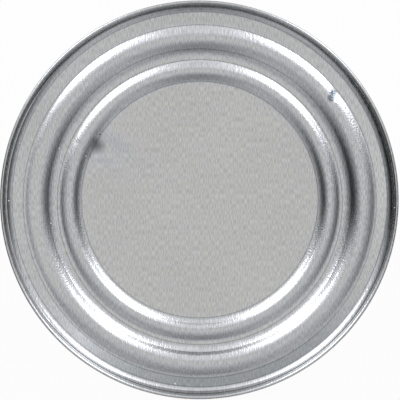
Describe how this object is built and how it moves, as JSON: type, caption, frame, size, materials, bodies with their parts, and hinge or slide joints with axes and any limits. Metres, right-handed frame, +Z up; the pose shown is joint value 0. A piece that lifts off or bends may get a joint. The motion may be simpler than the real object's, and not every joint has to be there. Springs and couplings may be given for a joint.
{
  "type": "can of enchilada sauce",
  "caption": "Shut round steel food can of enchilada sauce: beaded tinplate ends double-seamed to a ribbed body, with a plain printed paper label round the wall.",
  "frame": {"origin": "middle of the lower rim's base, on the can's axis", "axes": "+Z up the can's axis; -Y is the middle of the label's front, +Y the glued overlap"},
  "size_m": [0.1032, 0.1032, 0.1191],
  "materials": {
    "end_steel": "bright tinned sheet with a fine straight rolling grain",
    "body_steel": "bright tinned sheet, grain running round the can",
    "label_paper": "coated paper, printed, slight gloss"
  },
  "bodies": {
    "root": {"can_body": "body_steel", "top_end": "end_steel", "bottom_end": "end_steel", "paper_label": "label_paper"}
  },
  "joints": []
}
